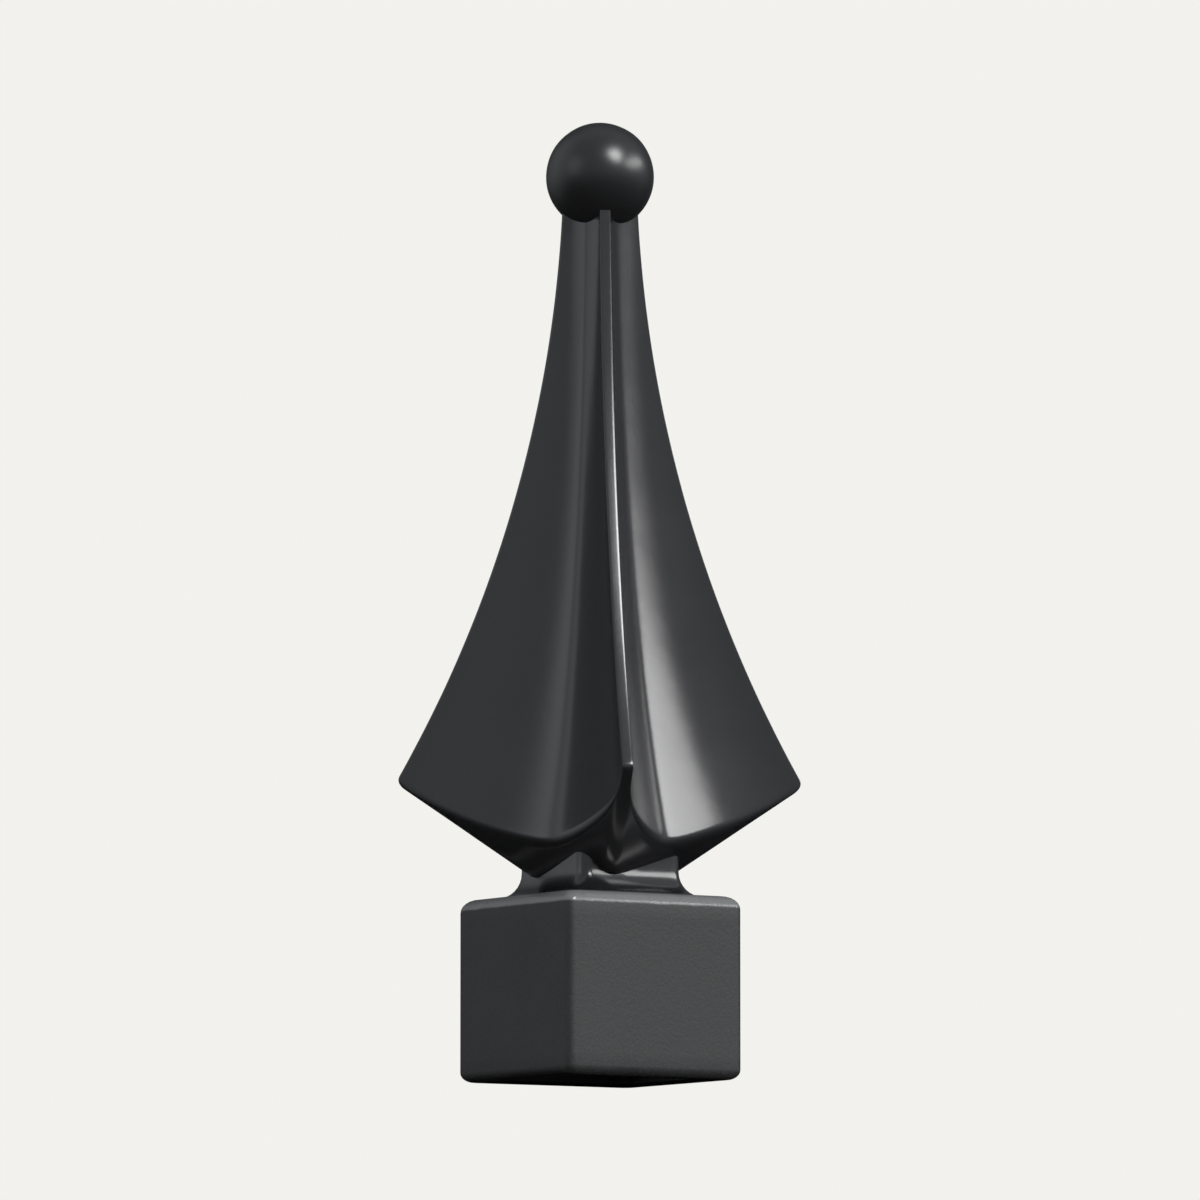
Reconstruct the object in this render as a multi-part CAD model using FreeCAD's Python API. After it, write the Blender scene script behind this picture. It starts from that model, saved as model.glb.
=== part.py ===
import FreeCAD, Part
import math
import os

# Press-on spear finial for the end of a square railing picket: one aluminium casting, coated black.
# A square collar slips over the picket. A short coved neck carries the spear, whose form is that of
# a tapering four-sided blank with a groove of one section swept down each corner. The grooves leave
# four ridges, which sweep out to four points, and the underside is cut back from these to the neck
# as a four-sided pyramid. A ball ends the slim stem. The origin is the centre of the collar's mouth
# and +Z runs up the spear. All sizes are millimetres.

# Picket and its fit in the socket
PICKET = 20.0  # square tube, across its flats
MOUTH_PLAY = 0.2  # gap on each side of the picket at the mouth

# Collar
COLLAR_WALL = 2.3  # at the mouth
COLLAR_HEIGHT = 22.1
COLLAR_ROOF = 3.1  # metal between the socket and the collar's top
COLLAR_CORNER = 1.1  # radius of the four upright corners
COLLAR_EDGE = 0.9  # radius round the top and bottom

# Socket
SOCKET_CORNER = 1.2  # radius in the four upright corners, less than a tube's own
SOCKET_DRAFT = 0.5  # degrees that each wall leans in towards the roof
MOUTH_LEAD = 0.4  # bevel round the mouth

# Grip ribs, which the picket crushes as the finial is driven home
RIBS_PER_WALL = 2
RIB_SPACING = 10.0
RIB_RADIUS = 0.8
RIB_BITE = 0.1  # overlap with a picket of the nominal size
RIB_SETBACK = 3.0  # bare wall below the ribs, which guides the picket in
RIB_LEAD = 1.0  # taper at each rib's lower end

# Neck
NECK_WIDTH = 14.5
NECK_HEIGHT = 3.4  # from the collar's top to where the spear is as wide as the neck
NECK_CORNER = 1.5
NECK_COVE = 3.1  # radius where the neck spreads on to the collar
NECK_ROOT = 3.0  # how far the neck runs on inside the spear

# Spear
SPEAR_TURN = 20.0  # degrees from the collar's corners round to the ridges
TIP_HEIGHT = 35.4  # of the four lower points, before their edges are rounded
TIP_RADIUS = 25.0  # from the axis to each of them
STEM_HEIGHT = 105.1  # where the ridges run into the ball
STEM_RADIUS = 4.6  # from the axis to the ridges there
RIDGE_ARC = 157.0  # radius of the sweep that each ridge makes between those two
RIDGE_LAND = 1.0  # width left on each ridge between the flutes, at both ends
UNDER_CORNER = 2.0  # radius along the four keels, which run down from the points to the neck
UNDER_INSET = 1.05  # how far the underside runs on into the neck, measured inwards
LOWER_EDGE = 0.5  # radius where the flutes and ridges run out on the underside

# Flutes
FLUTE_ROOT = 12.0  # radius in the bottom of the groove
FLUTE_ANGLE = 112.0  # degrees between its two flat flanks
FLUTE_ARC = 1056.0  # radius of the sweep that the groove makes down the spear

# Ball
BALL_RADIUS = 6.55

SQRT2 = math.sqrt(2.0)
collar_half = PICKET / 2 + MOUTH_PLAY + COLLAR_WALL
socket_depth = COLLAR_HEIGHT - COLLAR_ROOF
neck_top = COLLAR_HEIGHT + NECK_HEIGHT
under_spread = (TIP_RADIUS / SQRT2 - NECK_WIDTH / 2) / (TIP_HEIGHT - neck_top)
foot_half = NECK_WIDTH / 2 - UNDER_INSET
foot_height = neck_top - UNDER_INSET / under_spread
ball_height = STEM_HEIGHT + math.sqrt(BALL_RADIUS**2 - STEM_RADIUS**2)


def polar(x, y, height, turn):
    """Point (x, y, height), turned about the axis by so many degrees."""
    cosine = math.cos(math.radians(turn))
    sine = math.sin(math.radians(turn))
    return FreeCAD.Vector(x * cosine - y * sine, x * sine + y * cosine, height)


def rounded_square(half, corner, height, turn=0.0):
    """Wire of a level square with rounded corners."""
    flat = half - corner
    mid = flat + corner / SQRT2
    edges = []
    for quarter in range(4):
        angle = turn + 90 * quarter
        start = polar(half, -flat, height, angle)
        bend = polar(half, flat, height, angle)
        middle = polar(mid, mid, height, angle)
        end = polar(flat, half, height, angle)
        edges.append(Part.LineSegment(start, bend).toShape())
        edges.append(Part.Arc(bend, middle, end).toShape())
    return Part.Wire(edges)


def sweep_centre(at_stem, at_tip, radius):
    """Centre of the arc that runs from the stem's height to the tips' height, on its outer side."""
    span = STEM_HEIGHT - TIP_HEIGHT
    spread = at_tip - at_stem
    chord = math.hypot(span, spread)
    rise = math.sqrt(radius**2 - chord**2 / 4)
    across = (at_stem + at_tip) / 2 + rise * span / chord
    height = (STEM_HEIGHT + TIP_HEIGHT) / 2 + rise * spread / chord
    return FreeCAD.Vector(across, 0, height)


def valley_at(ridge):
    """Distance of a groove's bottom from the axis, where the ridges it leaves are this far out."""
    slant = math.radians(FLUTE_ANGLE / 2)
    side = (ridge - RIDGE_LAND / 2) / SQRT2
    if side < FLUTE_ROOT * math.cos(slant):
        depth = FLUTE_ROOT - math.sqrt(FLUTE_ROOT**2 - side**2)
    else:
        flank = side - FLUTE_ROOT * math.cos(slant)
        depth = FLUTE_ROOT * (1 - math.sin(slant)) + flank / math.tan(slant)
    return (ridge + RIDGE_LAND / 2) / SQRT2 - depth


def edges_between(shape, low, high):
    """Edges whose ends and middle all lie between two heights."""
    found = []
    for edge in shape.Edges:
        middle = edge.valueAt((edge.FirstParameter + edge.LastParameter) / 2)
        heights = [vertex.Point.z for vertex in edge.Vertexes] + [middle.z]
        if low <= min(heights) and max(heights) <= high:
            found.append(edge)
    return found


def collar():
    outline = Part.Face(rounded_square(collar_half, COLLAR_CORNER, 0))
    block = outline.extrude(FreeCAD.Vector(0, 0, COLLAR_HEIGHT))
    rims = edges_between(block, 0, 0) + edges_between(block, COLLAR_HEIGHT, COLLAR_HEIGHT)
    return block.makeFillet(COLLAR_EDGE, rims)


def with_neck(block):
    """Collar and neck in one, with the cove that spreads from one on to the other."""
    outline = Part.Face(rounded_square(NECK_WIDTH / 2, NECK_CORNER, COLLAR_HEIGHT))
    joined = block.fuse(outline.extrude(FreeCAD.Vector(0, 0, NECK_HEIGHT + NECK_ROOT)))
    reach = NECK_WIDTH / SQRT2
    seam = []
    for edge in edges_between(joined, COLLAR_HEIGHT, COLLAR_HEIGHT):
        end = edge.Vertexes[0].Point
        if math.hypot(end.x, end.y) < reach:
            seam.append(edge)
    return joined.makeFillet(NECK_COVE, seam)


def rib():
    """One half-round rib on the +X wall, tapered at its lower end."""
    height = socket_depth - RIB_SETBACK
    axis = FreeCAD.Vector(PICKET / 2 - RIB_BITE + RIB_RADIUS, 0, RIB_SETBACK)
    lead_radius = RIB_RADIUS - MOUTH_PLAY - RIB_BITE
    lead = Part.makeCone(lead_radius, RIB_RADIUS, RIB_LEAD, axis)
    shaft = Part.makeCylinder(RIB_RADIUS, height - RIB_LEAD, axis + FreeCAD.Vector(0, 0, RIB_LEAD))
    return lead.fuse(shaft)


def socket():
    """The hollow for the picket's end, with its draft, its bevelled mouth and the ribs left standing."""
    mouth = PICKET / 2 + MOUTH_PLAY
    roof = mouth - socket_depth * math.tan(math.radians(SOCKET_DRAFT))
    hollow = Part.makeLoft(
        [rounded_square(mouth, SOCKET_CORNER, 0), rounded_square(roof, SOCKET_CORNER, socket_depth)],
        True,
        True,
    )
    bevel = Part.makeLoft(
        [
            rounded_square(mouth + MOUTH_LEAD, SOCKET_CORNER + MOUTH_LEAD, 0),
            rounded_square(mouth, SOCKET_CORNER, MOUTH_LEAD),
        ],
        True,
        True,
    )
    ribs = []
    for wall in range(4):
        for place in range(RIBS_PER_WALL):
            one = rib()
            one.translate(FreeCAD.Vector(0, (place - (RIBS_PER_WALL - 1) / 2) * RIB_SPACING, 0))
            one.rotate(FreeCAD.Vector(0, 0, 0), FreeCAD.Vector(0, 0, 1), 90 * wall)
            ribs.append(one)
    return hollow.cut(ribs).fuse(bevel)


def blank():
    """The spear before it is grooved: four sides, each bent to the ridges' sweep, up into the ball."""
    centre = sweep_centre(STEM_RADIUS, TIP_RADIUS, RIDGE_ARC)
    right = []
    left = []
    for height in (foot_height, (foot_height + ball_height) / 2, ball_height):
        outward = centre.x - math.sqrt(RIDGE_ARC**2 - (height - centre.z) ** 2)
        right.append(FreeCAD.Vector(outward, 0, height))
        left.append(FreeCAD.Vector(-outward, 0, height))
    outline = Part.Wire(
        [
            Part.Arc(*right).toShape(),
            Part.LineSegment(right[2], left[2]).toShape(),
            Part.Arc(*left).toShape(),
            Part.LineSegment(left[0], right[0]).toShape(),
        ]
    )
    reach = right[0].x
    slab = Part.Face(outline).extrude(FreeCAD.Vector(0, 2 * reach, 0))
    slab.translate(FreeCAD.Vector(0, -reach, 0))
    crossed = slab.copy()
    crossed.rotate(FreeCAD.Vector(0, 0, 0), FreeCAD.Vector(0, 0, 1), 90)
    return slab.common(crossed)


def groove():
    """What one flute takes away: a round-nosed vee, swept down along a long arc on the +X side."""
    slant = math.radians(FLUTE_ANGLE / 2)
    reach = 2 * TIP_RADIUS
    centre = sweep_centre(valley_at(STEM_RADIUS), valley_at(TIP_RADIUS), FLUTE_ARC)
    nose = centre.x - FLUTE_ARC
    near = nose + FLUTE_ROOT * (1 - math.sin(slant))
    half = FLUTE_ROOT * math.cos(slant)
    far = near + reach * math.cos(slant)
    mouth = half + reach * math.sin(slant)
    section = Part.Wire(
        [
            Part.Arc(
                FreeCAD.Vector(near, -half, centre.z),
                FreeCAD.Vector(nose, 0, centre.z),
                FreeCAD.Vector(near, half, centre.z),
            ).toShape(),
            Part.LineSegment(
                FreeCAD.Vector(near, half, centre.z), FreeCAD.Vector(far, mouth, centre.z)
            ).toShape(),
            Part.LineSegment(
                FreeCAD.Vector(far, mouth, centre.z), FreeCAD.Vector(far, -mouth, centre.z)
            ).toShape(),
            Part.LineSegment(
                FreeCAD.Vector(far, -mouth, centre.z), FreeCAD.Vector(near, -half, centre.z)
            ).toShape(),
        ]
    )
    face = Part.Face(section)
    down = math.degrees(math.asin((centre.z - COLLAR_HEIGHT) / (FLUTE_ARC - reach)))
    up = math.degrees(math.asin((ball_height + BALL_RADIUS - centre.z) / FLUTE_ARC))
    face.rotate(centre, FreeCAD.Vector(0, 1, 0), -down)
    return face.revolve(centre, FreeCAD.Vector(0, 1, 0), down + up)


def underside():
    """The pyramid that the spear is cut back to, standing on its small foot inside the neck."""
    foot = foot_half
    height = ball_height - foot_height
    top = foot + height * under_spread
    pyramid = Part.makeWedge(-foot, 0, -foot, -top, -top, foot, height, foot, top, top)
    pyramid.rotate(FreeCAD.Vector(0, 0, 0), FreeCAD.Vector(1, 0, 0), 90)
    slants = []
    for edge in pyramid.Edges:
        if edge.BoundBox.ZLength > height / 2:
            slants.append(edge)
    pyramid = pyramid.makeFillet(UNDER_CORNER, slants)
    pyramid.translate(FreeCAD.Vector(0, 0, foot_height))
    return pyramid


def spear():
    body = blank()
    body.rotate(FreeCAD.Vector(0, 0, 0), FreeCAD.Vector(0, 0, 1), 45)
    for quarter in range(4):
        one = groove()
        one.rotate(FreeCAD.Vector(0, 0, 0), FreeCAD.Vector(0, 0, 1), 90 * quarter)
        body = body.cut(one)
    body = body.common(underside())
    run_out = edges_between(body, foot_height + LOWER_EDGE, TIP_HEIGHT + 2 * LOWER_EDGE)
    body = body.makeFillet(LOWER_EDGE, run_out)
    body.rotate(FreeCAD.Vector(0, 0, 0), FreeCAD.Vector(0, 0, 1), SPEAR_TURN)
    return body


def spear_finial():
    ball = Part.makeSphere(BALL_RADIUS, FreeCAD.Vector(0, 0, ball_height))
    body = with_neck(collar()).cut(socket())
    return body.fuse([spear(), ball])


os.makedirs("parts", exist_ok=True)
finial = spear_finial()
print("valid", finial.isValid(), "solids", len(finial.Solids), "faces", len(finial.Faces))
print("volume", round(finial.Volume, 1), "height", round(ball_height + BALL_RADIUS, 2))
finial.Solids[0].exportStep("parts/spear_finial.step")
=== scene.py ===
import math

import bmesh
import bpy
from mathutils import Matrix, Vector, kdtree, noise


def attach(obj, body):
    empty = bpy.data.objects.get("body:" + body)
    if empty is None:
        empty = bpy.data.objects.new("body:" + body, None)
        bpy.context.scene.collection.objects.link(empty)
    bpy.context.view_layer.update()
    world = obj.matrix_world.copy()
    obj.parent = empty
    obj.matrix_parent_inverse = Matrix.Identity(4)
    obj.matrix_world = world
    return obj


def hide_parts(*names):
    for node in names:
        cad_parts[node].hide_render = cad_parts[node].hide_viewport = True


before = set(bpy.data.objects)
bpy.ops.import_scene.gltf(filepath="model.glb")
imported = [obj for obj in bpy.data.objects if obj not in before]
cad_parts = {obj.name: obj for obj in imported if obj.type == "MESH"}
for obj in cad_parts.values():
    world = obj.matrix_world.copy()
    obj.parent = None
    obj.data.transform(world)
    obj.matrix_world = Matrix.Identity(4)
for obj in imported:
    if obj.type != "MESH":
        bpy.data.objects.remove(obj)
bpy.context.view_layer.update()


# Collar and neck: the lower half of one aluminium casting, with a square socket open below. The
# walls are square with softly rounded edges, and a cove leads from the flat top to a short square
# neck. The powder coat is satin and finely grained on the collar, and flowed smooth on the neck.
# The top edge is rubbed thin, and a pale colour there also paints a highlight along it.
MM = 0.001
COLLAR_HALF = 12.5 * MM
COLLAR_HEIGHT = 22.1 * MM
COLLAR_CORNER = 1.1 * MM
TOP_EDGE = 1.6 * MM
RIM_EDGE = 1.2 * MM
SOCKET_HALF = 10.2 * MM
SOCKET_CORNER = 1.2 * MM
SOCKET_DEPTH = 19.0 * MM
SOCKET_LEAN = math.tan(math.radians(0.5))
MOUTH_LEAD = 0.4 * MM
NECK_HALF = 7.25 * MM
NECK_CORNER = 1.5 * MM
NECK_COVE = 3.1 * MM
NECK_TOP = 28.5 * MM
FLAT_STEPS = 12
CORNER_STEPS = 8
EDGE_STEPS = 6
COVE_STEPS = 8
SOCKET_ROWS = 6
WALL_ROWS = 12
GLOSS_START = COLLAR_HEIGHT + NECK_COVE / 20
SATIN_COLOUR = (0.0143, 0.0149, 0.016, 1)
SATIN_ROUGHNESS = 0.56
# Pale rubbed colour: partly real rubbing, partly a painted highlight along the collar's top edge.
RUBBED_AND_HIGHLIGHT_COLOUR = (0.13, 0.132, 0.136, 1)
GLOSS_COLOUR = (0.0102, 0.0107, 0.0118, 1)
GLOSS_ROUGHNESS = 0.19
# Paler rubbed gloss colour: real rubbing on the edges, and a painted highlight line along the
# ridges.
RUBBED_AND_HIGHLIGHT_GLOSS_COLOUR = (0.06, 0.061, 0.063, 1)
RIM_WEAR = 0.25
# The top edge's wear is broad, so that the pale rubbed colour paints a highlight band along it.
TOP_EDGE_WEAR_AND_HIGHLIGHT = 2.2
# Edge mask: where the coat is rubbed thin, and where its paler colour paints highlights.
WORN_AND_HIGHLIT_EDGE = "worn_edge"


class Term:
    """A number in a tree of nodes, so that a rule can be written out as a formula."""

    def __init__(self, tree, socket):
        self.tree = tree
        self.socket = socket

    def worked(self, operation, *others):
        node = self.tree.nodes.new("ShaderNodeMath")
        node.operation = operation
        for place, value in enumerate((self, *others)):
            if isinstance(value, Term):
                self.tree.links.new(value.socket, node.inputs[place])
            else:
                node.inputs[place].default_value = value
        return Term(self.tree, node.outputs[0])

    def __add__(self, other):
        return self.worked("ADD", other)

    def __sub__(self, other):
        return self.worked("SUBTRACT", other)

    def __mul__(self, other):
        return self.worked("MULTIPLY", other)

    def __truediv__(self, other):
        return self.worked("DIVIDE", other)

    def __pow__(self, other):
        return self.worked("POWER", other)

    def taken_from(self, other):
        return (self * -1.0) + other

    def root(self):
        return self.worked("SQRT")

    def least(self, other):
        return self.worked("MINIMUM", other)

    def most(self, other):
        return self.worked("MAXIMUM", other)

    def share(self):
        """Kept between nought and one."""
        return self.least(1.0).most(0.0)


def node(tree, kind, given=(), **settings):
    """A node of that kind, with its settings, and its inputs joined or set."""
    made = tree.nodes.new(kind)
    for key, value in settings.items():
        setattr(made, key, value)
    for key, value in dict(given).items():
        if isinstance(value, Term):
            value = value.socket
        if isinstance(value, bpy.types.NodeSocket):
            tree.links.new(value, made.inputs[key])
        else:
            made.inputs[key].default_value = value
    return made


def effect(name, taken, given_back):
    """An empty shader node group with named inputs and outputs, and its inputs as terms."""
    tree = bpy.data.node_groups.new(name, "ShaderNodeTree")
    for label, kind in taken:
        tree.interface.new_socket(label, in_out="INPUT", socket_type="NodeSocket" + kind)
    for label, kind in given_back:
        tree.interface.new_socket(label, in_out="OUTPUT", socket_type="NodeSocket" + kind)
    start = tree.nodes.new("NodeGroupInput")
    return tree, {label: Term(tree, start.outputs[label]) for label, kind in taken}


def speckle(tree, place, scale, detail):
    """Soft cloudy values about nought, from one half below to one half above."""
    cloud = node(
        tree,
        "ShaderNodeTexNoise",
        {"Vector": place, "Scale": scale, "Detail": detail, "Roughness": 0.55},
    )
    return Term(tree, cloud.outputs["Fac"]) - 0.5


# The coat itself: cloudy differences of tone, the grain of powder that has just flowed together,
# and a slight orange peel under it.
TONE_SCALE = 85.0

powder_grain, given = effect(
    "Powder Grain",
    [
        ("Coat Colour", "Color"),
        ("Tone Spread", "Float"),
        ("Grain Size", "Float"),
        ("Grain Contrast", "Float"),
        ("Peel Size", "Float"),
        ("Peel Share", "Float"),
        ("Mean Roughness", "Float"),
        ("Roughness Spread", "Float"),
    ],
    [("Colour", "Color"), ("Roughness", "Float"), ("Height", "Float")],
)
place = node(powder_grain, "ShaderNodeTexCoord").outputs["Object"]
fine = speckle(powder_grain, place, scale=given["Grain Size"] ** -1.0, detail=2.0)
peel = speckle(powder_grain, place, scale=given["Peel Size"] ** -1.0, detail=1.0)
broad = speckle(powder_grain, place, scale=TONE_SCALE, detail=3.0)
tone = (broad * given["Tone Spread"] + fine * given["Grain Contrast"]) * 2.0 + 1.0
tinted = node(
    powder_grain,
    "ShaderNodeVectorMath",
    {0: given["Coat Colour"], "Scale": tone.most(0.0)},
    operation="SCALE",
)
matt = given["Mean Roughness"] + (broad + fine) * given["Roughness Spread"]
height = fine * given["Peel Share"].taken_from(1.0) + peel * given["Peel Share"]
node(
    powder_grain,
    "NodeGroupOutput",
    {"Colour": tinted.outputs[0], "Roughness": matt, "Height": height},
)

# Rubbed edges: hands and brushes polish the coat thin along what stands out, never evenly. The
# paler colour given here also paints highlights along the collar's top edge and the ridges.
RAGGED_SCALE = 420.0
EDGE_WEIGHT = 1.6
RAGGED_WEIGHT = 1.2
RUB_THRESHOLD = 0.55

rubbed_edges_and_highlights, given = effect(
    "Rubbed Edges and Highlights",
    [
        ("Colour", "Color"),
        ("Roughness", "Float"),
        ("Edge", "Float"),
        ("Rub", "Float"),
        ("Rubbed and Highlight Colour", "Color"),
        ("Rubbed Roughness", "Float"),
    ],
    [("Colour", "Color"), ("Roughness", "Float")],
)
place = node(rubbed_edges_and_highlights, "ShaderNodeTexCoord").outputs["Object"]
ragged = speckle(rubbed_edges_and_highlights, place, scale=RAGGED_SCALE, detail=4.0)
bared = (given["Edge"] * EDGE_WEIGHT + ragged * RAGGED_WEIGHT - RUB_THRESHOLD).share()
rub = (bared * given["Rub"]).share()
blend = node(
    rubbed_edges_and_highlights,
    "ShaderNodeMix",
    {0: rub, 6: given["Colour"], 7: given["Rubbed and Highlight Colour"]},
    data_type="RGBA",
)
smooth = given["Roughness"] + (given["Rubbed Roughness"] - given["Roughness"]) * rub
node(rubbed_edges_and_highlights, "NodeGroupOutput", {"Colour": blend.outputs[2], "Roughness": smooth})


def coat_finish(name, grain, rubbing, bump_height, shine):
    """A powder coat with its own grain and its own rubbed edges, whose paler colour also paints
    highlights.
    """
    made = bpy.data.materials.new(name)
    made.use_nodes = True
    tree = made.node_tree
    powder = node(tree, "ShaderNodeGroup", node_tree=powder_grain)
    rubbed = node(tree, "ShaderNodeGroup", node_tree=rubbed_edges_and_highlights)
    for label, value in grain.items():
        powder.inputs[label].default_value = value
    for label, value in rubbing.items():
        rubbed.inputs[label].default_value = value
    mark = node(tree, "ShaderNodeAttribute", attribute_name=WORN_AND_HIGHLIT_EDGE)
    tree.links.new(powder.outputs["Colour"], rubbed.inputs["Colour"])
    tree.links.new(powder.outputs["Roughness"], rubbed.inputs["Roughness"])
    tree.links.new(mark.outputs["Fac"], rubbed.inputs["Edge"])
    bump = node(tree, "ShaderNodeBump", {"Height": powder.outputs["Height"]})
    bump.inputs["Strength"].default_value = 1.0
    bump.inputs["Distance"].default_value = bump_height
    shader = tree.nodes["Principled BSDF"]
    shader.inputs["Specular IOR Level"].default_value = shine
    tree.links.new(rubbed.outputs["Colour"], shader.inputs["Base Color"])
    tree.links.new(rubbed.outputs["Roughness"], shader.inputs["Roughness"])
    tree.links.new(bump.outputs["Normal"], shader.inputs["Normal"])
    return made


satin_coat = coat_finish(
    "satin_powder_coat",
    {
        "Coat Colour": SATIN_COLOUR,
        "Tone Spread": 0.22,
        "Grain Size": 0.42 * MM,
        "Grain Contrast": 0.35,
        "Peel Size": 1.4 * MM,
        "Peel Share": 0.3,
        "Mean Roughness": SATIN_ROUGHNESS,
        "Roughness Spread": 0.16,
    },
    {"Rub": 1.0, "Rubbed and Highlight Colour": RUBBED_AND_HIGHLIGHT_COLOUR, "Rubbed Roughness": 0.24},
    bump_height=0.03 * MM,
    shine=0.5,
)

GLOSS_GRAIN = {
    "Coat Colour": GLOSS_COLOUR,
    "Tone Spread": 0.15,
    "Grain Size": 0.35 * MM,
    "Grain Contrast": 0.05,
    "Peel Size": 2.2 * MM,
    "Peel Share": 0.9,
    "Mean Roughness": GLOSS_ROUGHNESS,
    "Roughness Spread": 0.07,
}
gloss_coat = coat_finish(
    "gloss_powder_coat",
    GLOSS_GRAIN,
    {"Rub": 0.6, "Rubbed and Highlight Colour": RUBBED_AND_HIGHLIGHT_GLOSS_COLOUR, "Rubbed Roughness": 0.28},
    bump_height=0.009 * MM,
    shine=0.7,
)


def square_ring(half, corner, height, wear=0.0):
    """Points and wear round a level square with rounded corners, always in the same order."""
    points = []
    for quarter in range(4):
        turn = Matrix.Rotation(math.radians(90 * quarter), 3, "Z")
        for step in range(FLAT_STEPS):
            across = (2 * step / FLAT_STEPS - 1) * (half - corner)
            points.append((turn @ Vector((half, across, height)), wear))
        for step in range(CORNER_STEPS):
            angle = math.radians(90 * step / CORNER_STEPS)
            out = half - corner + corner * math.cos(angle)
            along = half - corner + corner * math.sin(angle)
            points.append((turn @ Vector((out, along, height)), wear))
    return points


def skin(mesh, rings):
    """Joins the rings one after another, and closes the first and the last of them."""
    worn = mesh.verts.layers.float.new(WORN_AND_HIGHLIT_EDGE)
    rows = []
    for ring in rings:
        row = []
        for point, wear in ring:
            vert = mesh.verts.new(point)
            vert[worn] = wear
            row.append(vert)
        rows.append(row)
    for low, high in zip(rows, rows[1:]):
        for here in range(len(low)):
            after = (here + 1) % len(low)
            mesh.faces.new((low[here], low[after], high[after], high[here]))
    mesh.faces.new(rows[0])
    mesh.faces.new(rows[-1])


def finished(name, mesh, material):
    """An object from a closed mesh, with its faces turned outwards and its wear marked."""
    if not mesh.verts.layers.float.get(WORN_AND_HIGHLIT_EDGE):
        mesh.verts.layers.float.new(WORN_AND_HIGHLIT_EDGE)
    bmesh.ops.recalc_face_normals(mesh, faces=mesh.faces)
    data = bpy.data.meshes.new(name)
    mesh.to_mesh(data)
    mesh.free()
    data.materials.append(material)
    piece = bpy.data.objects.new(name, data)
    bpy.context.scene.collection.objects.link(piece)
    return piece


rings = []
for step in range(SOCKET_ROWS + 1):
    height = SOCKET_DEPTH + (MOUTH_LEAD - SOCKET_DEPTH) * step / SOCKET_ROWS
    rings.append(square_ring(SOCKET_HALF - height * SOCKET_LEAN, SOCKET_CORNER, height))
rings.append(square_ring(SOCKET_HALF + MOUTH_LEAD, SOCKET_CORNER + MOUTH_LEAD, 0))
for step in range(EDGE_STEPS + 1):
    angle = math.radians(90 * step / EDGE_STEPS)
    inset = RIM_EDGE * (1 - math.sin(angle))
    height = RIM_EDGE * (1 - math.cos(angle))
    wear = RIM_WEAR * math.sin(2 * angle)
    rings.append(square_ring(COLLAR_HALF - inset, COLLAR_CORNER, height, wear))
for step in range(1, WALL_ROWS):
    height = RIM_EDGE + (COLLAR_HEIGHT - RIM_EDGE - TOP_EDGE) * step / WALL_ROWS
    rings.append(square_ring(COLLAR_HALF, COLLAR_CORNER, height))
# Top edge rounding: the coat is rubbed thin here, and its pale colour also paints a highlight on
# it.
for step in range(EDGE_STEPS + 1):
    angle = math.radians(90 * step / EDGE_STEPS)
    inset = TOP_EDGE * (1 - math.cos(angle))
    height = COLLAR_HEIGHT - TOP_EDGE * (1 - math.sin(angle))
    wear = min(1.0, TOP_EDGE_WEAR_AND_HIGHLIGHT * math.sin(2 * angle))
    rings.append(square_ring(COLLAR_HALF - inset, COLLAR_CORNER, height, wear))
for step in range(COVE_STEPS + 1):
    angle = math.radians(90 * step / COVE_STEPS)
    spread = NECK_COVE * (1 - math.sin(angle))
    height = COLLAR_HEIGHT + NECK_COVE * (1 - math.cos(angle))
    rings.append(square_ring(NECK_HALF + spread, NECK_CORNER + spread, height))
rings.append(square_ring(NECK_HALF, NECK_CORNER, NECK_TOP))
body = bmesh.new()
skin(body, rings)
collar = finished("collar_and_neck", body, satin_coat)
collar.data.materials.append(gloss_coat)
for face in collar.data.polygons:
    if face.center.z > GLOSS_START:
        face.material_index = 1


# Grip ribs: eight half-round ribs cast on the socket's walls, two to a wall, which are crushed
# for a tight fit as the finial is driven home. Each is tapered below so that it starts easily.
RIB_RADIUS = 0.8 * MM
RIB_CREST = 9.9 * MM
RIB_START = 3.0 * MM
RIB_LEAD = 1.0 * MM
RIB_TAPER = 0.3 * MM
RIB_OVERRUN = 0.2 * MM
RIB_SPACING = 10.0 * MM
RIB_SIDES = 20
ROUNDING_GUARD = 0.01


def rule_tree(name, sizes):
    """An empty tree of Geometry Nodes with named inputs, which come back as terms and sockets."""
    tree = bpy.data.node_groups.new(name, "GeometryNodeTree")
    tree.is_modifier = True
    tree.interface.new_socket("Geometry", in_out="INPUT", socket_type="NodeSocketGeometry")
    for label, kind in sizes:
        tree.interface.new_socket(label, in_out="INPUT", socket_type="NodeSocket" + kind)
    tree.interface.new_socket("Geometry", in_out="OUTPUT", socket_type="NodeSocketGeometry")
    start = tree.nodes.new("NodeGroupInput")
    return tree, {label: Term(tree, start.outputs[label]) for label, kind in sizes}


def made_by_rule(name, tree, values):
    """The plain mesh that a tree makes from these values, as an object of its own."""
    carrier = bpy.data.objects.new(name, bpy.data.meshes.new(name))
    bpy.context.scene.collection.objects.link(carrier)
    modifier = carrier.modifiers.new(name, "NODES")
    modifier.node_group = tree
    for item in tree.interface.items_tree:
        if item.in_out == "INPUT" and item.name in values:
            modifier[item.identifier] = values[item.name]
    return plain(carrier)


def plain(piece):
    """Turns what an object's modifiers make into its own mesh, and removes them."""
    graph = bpy.context.evaluated_depsgraph_get()
    data = bpy.data.meshes.new_from_object(
        piece.evaluated_get(graph), preserve_all_data_layers=True, depsgraph=graph
    )
    piece.modifiers.clear()
    piece.data = data
    return piece


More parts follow.
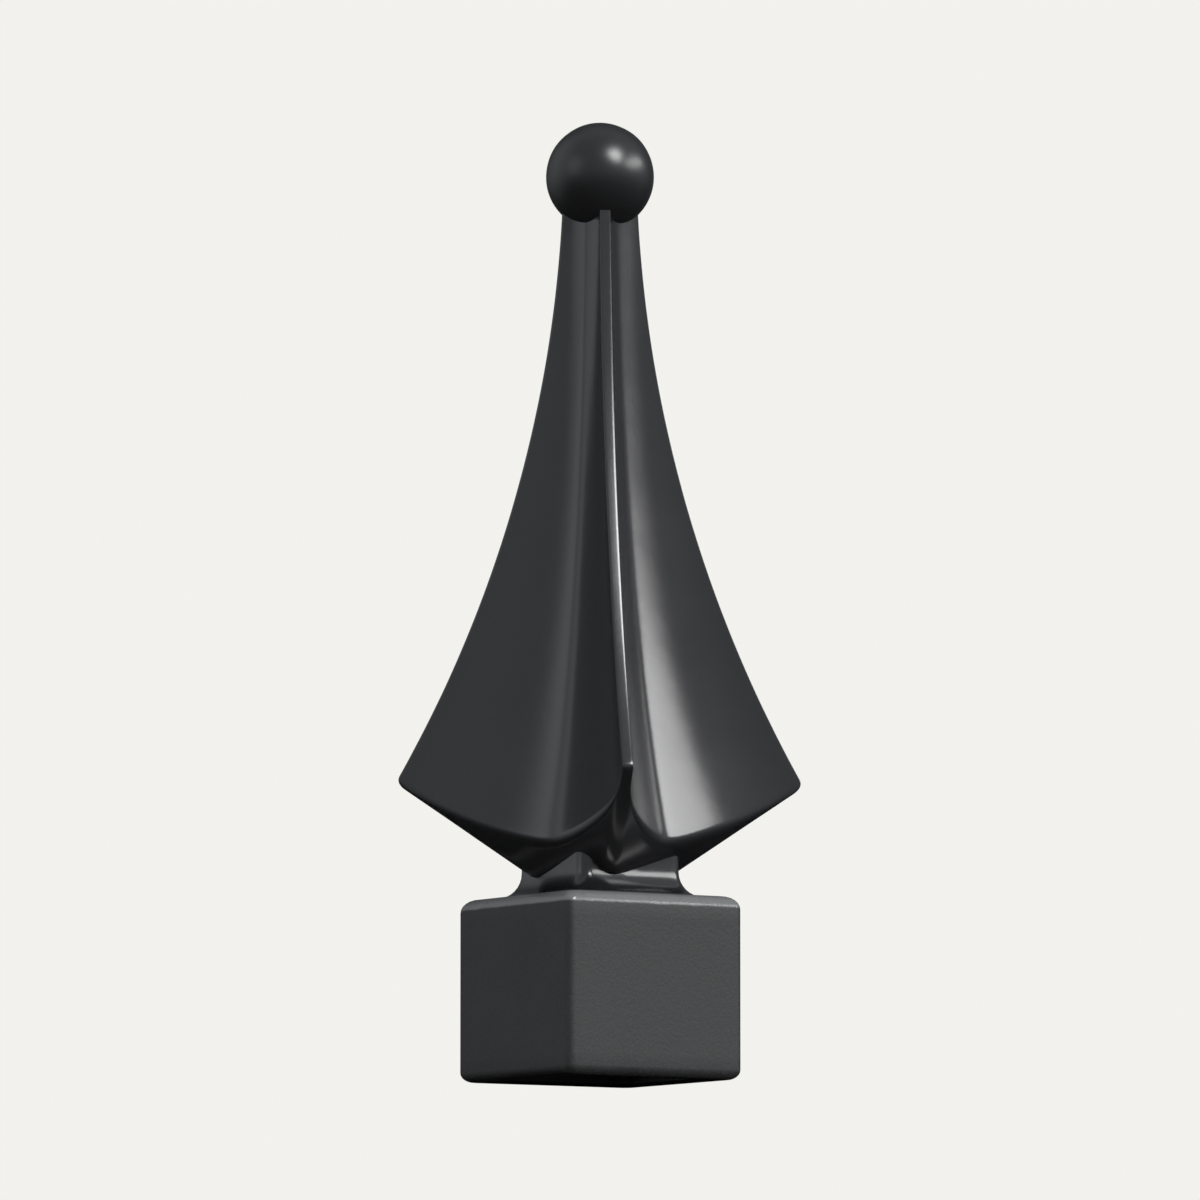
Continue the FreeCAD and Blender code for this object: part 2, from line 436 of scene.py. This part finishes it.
shape = bmesh.new()
rows = []
for height, radius in (
    (RIB_START, RIB_RADIUS - RIB_TAPER),
    (RIB_START + RIB_LEAD, RIB_RADIUS),
    (SOCKET_DEPTH + RIB_OVERRUN, RIB_RADIUS),
):
    row = []
    for side in range(RIB_SIDES):
        angle = math.tau * side / RIB_SIDES
        row.append((Vector((radius * math.cos(angle), radius * math.sin(angle), height)), 0.0))
    rows.append(row)
skin(shape, rows)
rib = finished("grip_rib", shape, satin_coat)

tree, size = rule_tree(
    "Grip Ribs",
    [
        ("Rib", "Object"),
        ("Walls", "Int"),
        ("Ribs on a Wall", "Int"),
        ("Spacing", "Float"),
        ("Distance Out", "Float"),
        ("Coat", "Material"),
    ],
)
number = Term(tree, node(tree, "GeometryNodeInputIndex").outputs[0])
wall = (number / size["Ribs on a Wall"] + ROUNDING_GUARD).worked("FLOOR")
place = number - wall * size["Ribs on a Wall"]
across = (place - (size["Ribs on a Wall"] - 1.0) / 2.0) * size["Spacing"]
turn = wall * math.radians(90)
spot = node(tree, "ShaderNodeCombineXYZ", {"X": size["Distance Out"], "Y": across})
spot = node(
    tree,
    "ShaderNodeVectorRotate",
    {"Vector": spot.outputs[0], "Angle": turn},
    rotation_type="Z_AXIS",
)
line = node(tree, "GeometryNodeMeshLine", {"Count": size["Walls"] * size["Ribs on a Wall"]})
spread = node(
    tree, "GeometryNodeSetPosition", {"Geometry": line.outputs[0], "Position": spot.outputs[0]}
)
like = node(tree, "GeometryNodeObjectInfo", {"Object": size["Rib"], "As Instance": True})
stood = node(
    tree,
    "GeometryNodeInstanceOnPoints",
    {"Points": spread.outputs[0], "Instance": like.outputs["Geometry"]},
)
real = node(tree, "GeometryNodeRealizeInstances", {"Geometry": stood.outputs[0]})
coated = node(
    tree, "GeometryNodeSetMaterial", {"Geometry": real.outputs[0], "Material": size["Coat"]}
)
node(tree, "NodeGroupOutput", {"Geometry": coated.outputs[0]})
ribs = made_by_rule(
    "grip_ribs",
    tree,
    {
        "Rib": rib,
        "Walls": 4,
        "Ribs on a Wall": 2,
        "Spacing": RIB_SPACING,
        "Distance Out": RIB_CREST + RIB_RADIUS,
        "Coat": satin_coat,
    },
)
bpy.data.objects.remove(rib)


# Spear: the casting's upper half, four hollow flutes between four narrow ridges that sweep out
# to four points. Below them it is cut back as a pyramid to the neck. The coat has flowed smooth
# and glossy here, with a slight orange peel, and is rubbed a little thin along the ridges, where a
# paler colour also paints a highlight line.
SPEAR_TURN = 20.0
SPEAR = {
    "Foot Height": 24.4 * MM,
    "Foot Half": 6.1 * MM,
    "Tip Height": 35.4 * MM,
    "Tip Radius": 25.0 * MM,
    "Stem Height": 105.1 * MM,
    "Stem Radius": 4.6 * MM,
    "Top Height": 109.7 * MM,
    "Ridge Sweep": 157.0 * MM,
    "Crest Width": 1.3 * MM,
    "Crest Depth": 0.16 * MM,
    "Root Start": 2.87 * MM,
    "Root Flare": 0.24,
    "Root Curl": 2.2,
    "Root Roundness": 0.12,
    "Flank Straightness": 0.6,
    "Keel Corner": 1.6 * MM,
    "Run-out Edge": 0.9 * MM,
    "Unevenness": 0.05 * MM,
    "Seed": 3.0,
}
COLUMNS = 60
ROWS = 116
FOOT_ROW = 2 / ROWS
UNDER_ROW = 18 / ROWS
EDGE_ROW = 26 / ROWS
CAP_ROW = (ROWS - 1) / ROWS
FLANK_SHARE = 0.7
CURVED_WALL_POWER = 3.0
CREST_SQUARENESS = 0.45
FOOT_REACH = 0.995
SETTLING_ROUNDS = 12
# Strength of the rubbing along the ridges, which also lays the painted highlight line there.
CREST_WEAR_AND_HIGHLIGHT = 2.0
RUN_OUT_WEAR = 1.2
MERGE_DISTANCE = 0.004 * MM

tree, size = rule_tree(
    "Fluted Spear", [(label, "Float") for label in SPEAR] + [("Coat", "Material")]
)
span = size["Stem Height"] - size["Tip Height"]
widening = size["Tip Radius"] - size["Stem Radius"]
chord = (span * span + widening * widening).root()
rise = (size["Ridge Sweep"] * size["Ridge Sweep"] - chord * chord / 4.0).root()
sweep_out = (size["Tip Radius"] + size["Stem Radius"]) / 2.0 + rise * span / chord
sweep_up = (size["Stem Height"] + size["Tip Height"]) / 2.0 + rise * widening / chord
slope = (size["Tip Radius"] / math.sqrt(2.0) - size["Foot Half"]) / (
    size["Tip Height"] - size["Foot Height"]
)
grid = node(
    tree,
    "GeometryNodeMeshGrid",
    {"Size X": 2.0, "Size Y": 1.0, "Vertices X": COLUMNS + 1, "Vertices Y": ROWS + 1},
)
here = node(tree, "ShaderNodeSeparateXYZ", {0: node(tree, "GeometryNodeInputPosition").outputs[0]})
across = Term(tree, here.outputs["X"])
share = across.worked("ABSOLUTE")
row = Term(tree, here.outputs["Y"]) + 0.5


def wall_rise(portion):
    """How much of a flute's depth its wall has risen, so far of the way from bottom to ridge."""
    round_off = size["Root Roundness"]
    folded = ((portion * portion + round_off * round_off).root() - round_off) / (
        (round_off * round_off + 1.0).root() - round_off
    )
    straight = size["Flank Straightness"]
    return folded * straight + portion ** CURVED_WALL_POWER * straight.taken_from(1.0)


def flute_at(height):
    """How far out and aside one flute's wall is at a height, from its bottom round to the ridge."""
    up = height - sweep_up
    ridge = sweep_out - (size["Ridge Sweep"] * size["Ridge Sweep"] - up * up).root()
    shoulder = ridge - size["Crest Depth"]
    half = size["Crest Width"] / 2.0
    edge_out = (shoulder + half) / math.sqrt(2.0)
    edge_aside = (shoulder - half) / math.sqrt(2.0)
    spread = ridge - size["Stem Radius"]
    root = size["Root Start"] + spread * size["Root Flare"] + spread * spread * size["Root Curl"]
    portion = (share / FLANK_SHARE).least(1.0)
    aside = edge_aside * portion
    out = root + (edge_out - root) * wall_rise(portion)
    bend = ((share - FLANK_SHARE) / (1.0 - FLANK_SHARE)).most(0.0) * math.radians(90)
    crown = bend.worked("SINE") ** CREST_SQUARENESS * size["Crest Depth"]
    narrow = half - (bend.worked("COSINE").most(0.0) ** CREST_SQUARENESS) * half
    out = out + (crown - narrow) / math.sqrt(2.0)
    aside = aside + (crown + narrow) / math.sqrt(2.0)
    return out, aside


def pyramid_at(out, aside):
    """Height of the underside over a point of the plan, with its keels rounded."""
    apart = out - aside
    near = apart.least(size["Keel Corner"])
    keel = (size["Keel Corner"] * size["Keel Corner"] * 2.0 - near * near).root()
    half = (out + aside - keel + apart - near) / 2.0 + size["Keel Corner"]
    return (half - size["Foot Half"]).most(0.0) / slope + size["Foot Height"]


# The flutes run out where their wall meets the pyramid. Each round finds the pyramid's height
# under the wall's last place, and the heights soon settle on one.
settle_in = tree.nodes.new("GeometryNodeRepeatInput")
settle_out = tree.nodes.new("GeometryNodeRepeatOutput")
settle_in.pair_with_output(settle_out)
settle_out.repeat_items.clear()
settle_out.repeat_items.new("FLOAT", "Height")
settle_in.inputs["Iterations"].default_value = SETTLING_ROUNDS
tree.links.new(size["Tip Height"].socket, settle_in.inputs["Height"])
guess = pyramid_at(*flute_at(Term(tree, settle_in.outputs["Height"])))
tree.links.new(guess.socket, settle_out.inputs["Height"])
run_out = Term(tree, settle_out.outputs["Height"])

# The grid's rows go from the axis out under the spear, round the run-out edge and up the flute.
corner_out, corner_aside = flute_at(run_out)
corner_half = corner_out.most(size["Foot Half"])
to_foot = (row / FOOT_ROW).share()
to_edge = ((row - FOOT_ROW) / (UNDER_ROW - FOOT_ROW)).share()
foot_share = (size["Foot Half"] / corner_half) * FOOT_REACH
edge_share = (size["Run-out Edge"] / corner_half).taken_from(1.0)
plan = foot_share * to_foot + (edge_share - foot_share) * to_edge
under_out = corner_out * plan
under_aside = corner_aside * plan
under_up = pyramid_at(under_out, under_aside)
start_up = run_out + size["Run-out Edge"]
climb = ((row - EDGE_ROW) / (CAP_ROW - EDGE_ROW)).share()
flute_up = start_up + (size["Top Height"] - start_up) * climb
flute_out, flute_aside = flute_at(flute_up)
bend = ((row - UNDER_ROW) / (EDGE_ROW - UNDER_ROW)).share()
left = bend.taken_from(1.0)


def rounded(under, corner, flute):
    """Round the run-out edge, from the underside up on to the flute."""
    return under * left * left + corner * left * bend * 2.0 + flute * bend * bend


cap = ((row - CAP_ROW) * ROWS).share().taken_from(1.0)
out = rounded(under_out, corner_out, flute_out) * cap
aside = rounded(under_aside, corner_aside, flute_aside) * cap * across.worked("SIGN")
up = rounded(under_up, run_out, flute_up)
shaped = node(
    tree,
    "GeometryNodeSetPosition",
    {
        "Geometry": grid.outputs["Mesh"],
        "Position": node(tree, "ShaderNodeCombineXYZ", {"X": out, "Y": aside, "Z": up}).outputs[0],
    },
)
crest = ((share - FLANK_SHARE) / (1.0 - FLANK_SHARE) * CREST_WEAR_AND_HIGHLIGHT).share()
rim = (bend * left * RUN_OUT_WEAR).share()
marked = node(
    tree,
    "GeometryNodeStoreNamedAttribute",
    {"Geometry": shaped.outputs[0], "Name": WORN_AND_HIGHLIT_EDGE, "Value": crest.most(rim)},
    data_type="FLOAT",
    domain="POINT",
)
quarters = node(tree, "GeometryNodeMeshLine", {"Count": 4, "Offset": (0.0, 0.0, 0.0)})
number = Term(tree, node(tree, "GeometryNodeInputIndex").outputs[0])
facing = node(
    tree, "ShaderNodeCombineXYZ", {"Z": number * math.radians(90) + math.radians(SPEAR_TURN)}
)
facing = node(tree, "FunctionNodeEulerToRotation", {0: facing.outputs[0]})
four = node(
    tree,
    "GeometryNodeInstanceOnPoints",
    {
        "Points": quarters.outputs[0],
        "Instance": marked.outputs[0],
        "Rotation": facing.outputs[0],
    },
)
real = node(tree, "GeometryNodeRealizeInstances", {"Geometry": four.outputs[0]})
joined = node(
    tree, "GeometryNodeMergeByDistance", {"Geometry": real.outputs[0], "Distance": MERGE_DISTANCE}
)
waves = node(
    tree,
    "ShaderNodeTexNoise",
    {
        "Vector": node(tree, "GeometryNodeInputPosition").outputs[0],
        "W": size["Seed"],
        "Scale": 110.0,
        "Detail": 1.5,
        "Roughness": 0.4,
    },
    noise_dimensions="4D",
)
swell = (Term(tree, waves.outputs[0]) - 0.5) * size["Unevenness"]
push = node(
    tree,
    "ShaderNodeVectorMath",
    {0: node(tree, "GeometryNodeInputNormal").outputs[0], "Scale": swell},
    operation="SCALE",
)
uneven = node(
    tree, "GeometryNodeSetPosition", {"Geometry": joined.outputs[0], "Offset": push.outputs[0]}
)
coated = node(
    tree, "GeometryNodeSetMaterial", {"Geometry": uneven.outputs[0], "Material": size["Coat"]}
)
node(tree, "NodeGroupOutput", {"Geometry": coated.outputs[0]})
spear = made_by_rule("fluted_spear", tree, {**SPEAR, "Coat": gloss_coat})
body = bmesh.new()
body.from_mesh(spear.data)
bmesh.ops.recalc_face_normals(body, faces=body.faces)
body.to_mesh(spear.data)
body.free()


# Ball: cast on the end of the stem, a sphere that the four ridges run into. Its coat shines less
# than the spear's and isn't rubbed, and like the spear it is very slightly out of true.
BALL_RADIUS = 6.55 * MM
BALL_HEIGHT = 109.76 * MM
BALL_WAVES = 2.0
BALL_UNEVENNESS = 0.03 * MM
BALL_ROUGHNESS = 0.31

ball_coat = coat_finish(
    "ball_powder_coat",
    {**GLOSS_GRAIN, "Mean Roughness": BALL_ROUGHNESS, "Roughness Spread": 0.05},
    {"Rub": 0.0},
    bump_height=0.005 * MM,
    shine=0.5,
)

body = bmesh.new()
bmesh.ops.create_icosphere(body, subdivisions=6, radius=BALL_RADIUS)
for vert in body.verts:
    outward = vert.co.normalized()
    vert.co += outward * noise.noise(outward * BALL_WAVES) * BALL_UNEVENNESS
bmesh.ops.translate(body, verts=body.verts, vec=(0, 0, BALL_HEIGHT))
ball = finished("ball", body, ball_coat)


# The casting: collar, ribs, spear and ball are one piece of metal, poured in one mould, so their
# skins are joined into one closed skin, smooth but for the edges that the mould left crisp.
CRISP_ANGLE = math.radians(28)

marks = []
for part in (collar, spear, ball):
    worn = part.data.attributes[WORN_AND_HIGHLIT_EDGE].data
    marks += [(vert.co.copy(), worn[vert.index].value) for vert in part.data.vertices]
nearest = kdtree.KDTree(len(marks))
for place, (point, wear) in enumerate(marks):
    nearest.insert(point, place)
nearest.balance()
for part in (ribs, spear, ball):
    union = collar.modifiers.new("one_casting", "BOOLEAN")
    union.operation = "UNION"
    union.solver = "EXACT"
    union.material_mode = "TRANSFER"
    union.object = part
casting = plain(collar)
casting.name = "spear_finial_casting"
for part in (ribs, spear, ball):
    bpy.data.objects.remove(part)
worn = casting.data.attributes[WORN_AND_HIGHLIT_EDGE].data
for vert in casting.data.vertices:
    worn[vert.index].value = marks[nearest.find(vert.co)[1]][1]
casting.data.shade_smooth()
casting.data.set_sharp_from_angle(angle=CRISP_ANGLE)
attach(casting, "root")
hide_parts("spear_finial")


# Camera: lower than the collar, looking up a little at the finial from its left corner, through
# a long lens as in the photograph.
CAMERA_TURN = math.radians(-32.8)
CAMERA_DISTANCE = 1.3028
CAMERA_HEIGHT = -67.9 * MM
CAMERA_LENS = 325
AIM_HEIGHT = 58.2 * MM

aim = Vector((0, 0, AIM_HEIGHT))
camera = bpy.data.objects.new("camera", bpy.data.cameras.new("camera"))
bpy.context.scene.collection.objects.link(camera)
camera.location = (
    math.sin(CAMERA_TURN) * CAMERA_DISTANCE,
    -math.cos(CAMERA_TURN) * CAMERA_DISTANCE,
    CAMERA_HEIGHT,
)
camera.rotation_euler = (aim - camera.location).to_track_quat("-Z", "Y").to_euler()
camera.data.lens = CAMERA_LENS
bpy.context.scene.camera = camera


# Floor: a plain pale board that the finial stands on. It is clear from below, where the camera
# is, and the coat doesn't mirror it, since in the photograph there is no such board.
FLOOR_HALF = 3.0
FLOOR_COLOUR = (0.8, 0.793, 0.77, 1)
FLOOR_ROUGHNESS = 0.8

board = bmesh.new()
bmesh.ops.create_grid(board, x_segments=1, y_segments=1, size=FLOOR_HALF)
pale_floor = bpy.data.materials.new("pale_floor")
pale_floor.use_nodes = True
tree = pale_floor.node_tree
pale = tree.nodes["Principled BSDF"]
pale.inputs["Base Color"].default_value = FLOOR_COLOUR
pale.inputs["Roughness"].default_value = FLOOR_ROUGHNESS
below = Term(tree, node(tree, "ShaderNodeNewGeometry").outputs["Backfacing"])
mirrored = Term(tree, node(tree, "ShaderNodeLightPath").outputs["Is Glossy Ray"])
clear = node(tree, "ShaderNodeBsdfTransparent")
mix = node(
    tree,
    "ShaderNodeMixShader",
    {0: below.most(mirrored), 1: pale.outputs[0], 2: clear.outputs[0]},
)
tree.links.new(mix.outputs[0], tree.nodes["Material Output"].inputs["Surface"])
floor = finished("floor", board, pale_floor)


# Surroundings: a pale backdrop all round for the camera. The coat mirrors a dimmer, bluer one, with
# two glows on the left, a dark cloth behind and nothing below. Its matt part gets a weak fill from
# above and a stronger one from the left.
BACKDROP_COLOUR = (0.89, 0.883, 0.85, 1)
FILL_STRENGTH = 0.12
MIRRORED_STRENGTH = 0.56
NEAR_GLOW_STRENGTH = 0.8
FAR_GLOW_STRENGTH = 0.32
LEFT_FILL_STRENGTH = 0.5
CLOTH_DARKNESS = 0.8
OVERHEAD_POWER = 3.0
MIRRORED_COLOUR = (0.84, 0.87, 0.91, 1)

world = bpy.data.worlds.new("studio")
bpy.context.scene.world = world
world.use_nodes = True
tree = world.node_tree
rays = node(tree, "ShaderNodeLightPath")
way = node(tree, "ShaderNodeTexCoord").outputs["Generated"]


def direction(turn, elevation):
    """The way to a point so many degrees to the right of the camera and above the floor."""
    angle = CAMERA_TURN + math.radians(turn)
    rise = math.radians(elevation)
    return Vector(
        (math.sin(angle) * math.cos(rise), -math.cos(angle) * math.cos(rise), math.sin(rise))
    )


def patch(turn, elevation, edge, full):
    """A patch round a direction: nought at its edge and one where full, both given as cosines."""
    nearness = node(
        tree,
        "ShaderNodeVectorMath",
        {0: way, 1: direction(turn, elevation)},
        operation="DOT_PRODUCT",
    )
    return ((Term(tree, nearness.outputs["Value"]) - edge) / (full - edge)).share()


above = patch(turn=0, elevation=90, edge=-0.85, full=0.1) ** OVERHEAD_POWER
behind = patch(turn=180, elevation=0, edge=0.28, full=0.68)
near_glow = patch(turn=-57, elevation=18, edge=0.93, full=0.995)
far_glow = patch(turn=-108, elevation=14, edge=0.7, full=0.98)
left_fill = patch(turn=-95, elevation=20, edge=0.2, full=1.0)
mirrored = above * (behind * CLOTH_DARKNESS).taken_from(1.0) * MIRRORED_STRENGTH
mirrored = mirrored + near_glow * NEAR_GLOW_STRENGTH + far_glow * FAR_GLOW_STRENGTH
filling = above * FILL_STRENGTH + left_fill * LEFT_FILL_STRENGTH
direct = Term(tree, rays.outputs["Is Camera Ray"]).most(
    Term(tree, rays.outputs["Is Transmission Ray"])
)
backdrop = node(tree, "ShaderNodeBackground", {"Color": BACKDROP_COLOUR, "Strength": 1.0})
reflected = node(
    tree, "ShaderNodeBackground", {"Color": MIRRORED_COLOUR, "Strength": mirrored}
)
fill = tree.nodes["Background"]
fill.inputs["Color"].default_value = (1, 1, 1, 1)
tree.links.new(filling.socket, fill.inputs["Strength"])
mix = node(
    tree,
    "ShaderNodeMixShader",
    {0: rays.outputs["Is Glossy Ray"], 1: fill.outputs[0], 2: reflected.outputs[0]},
)
mix = node(
    tree, "ShaderNodeMixShader", {0: direct, 1: mix.outputs[0], 2: backdrop.outputs[0]}
)
tree.links.new(mix.outputs[0], tree.nodes["World Output"].inputs["Surface"])


# Lamps: two soft ones, so far off that they light the floor evenly. A round one high on the right
# is for the ball and the ridges, and a low wide oval one further right for the broad shine in the
# right flute.
LAMP_DISTANCE = 15.0


def soft_lamp(name, turn, elevation, width, height, radiance):
    """An oval soft lamp that faces the finial, with so much light from each part of it."""
    light = bpy.data.lights.new(name, "AREA")
    light.shape = "ELLIPSE"
    light.size = width
    light.size_y = height
    area = math.pi / 4 * width * height
    light.energy = radiance * math.pi * area
    lamp = bpy.data.objects.new(name, light)
    bpy.context.scene.collection.objects.link(lamp)
    outward = direction(turn, elevation)
    lamp.location = aim + outward * LAMP_DISTANCE
    lamp.rotation_euler = outward.to_track_quat("Z", "Y").to_euler()


soft_lamp("high_soft_lamp", turn=40, elevation=40, width=6.8, height=6.8, radiance=17.5)
soft_lamp("low_soft_lamp", turn=82, elevation=22.2, width=12.0, height=4.4, radiance=7.4)

bpy.context.scene.view_settings.view_transform = "Standard"
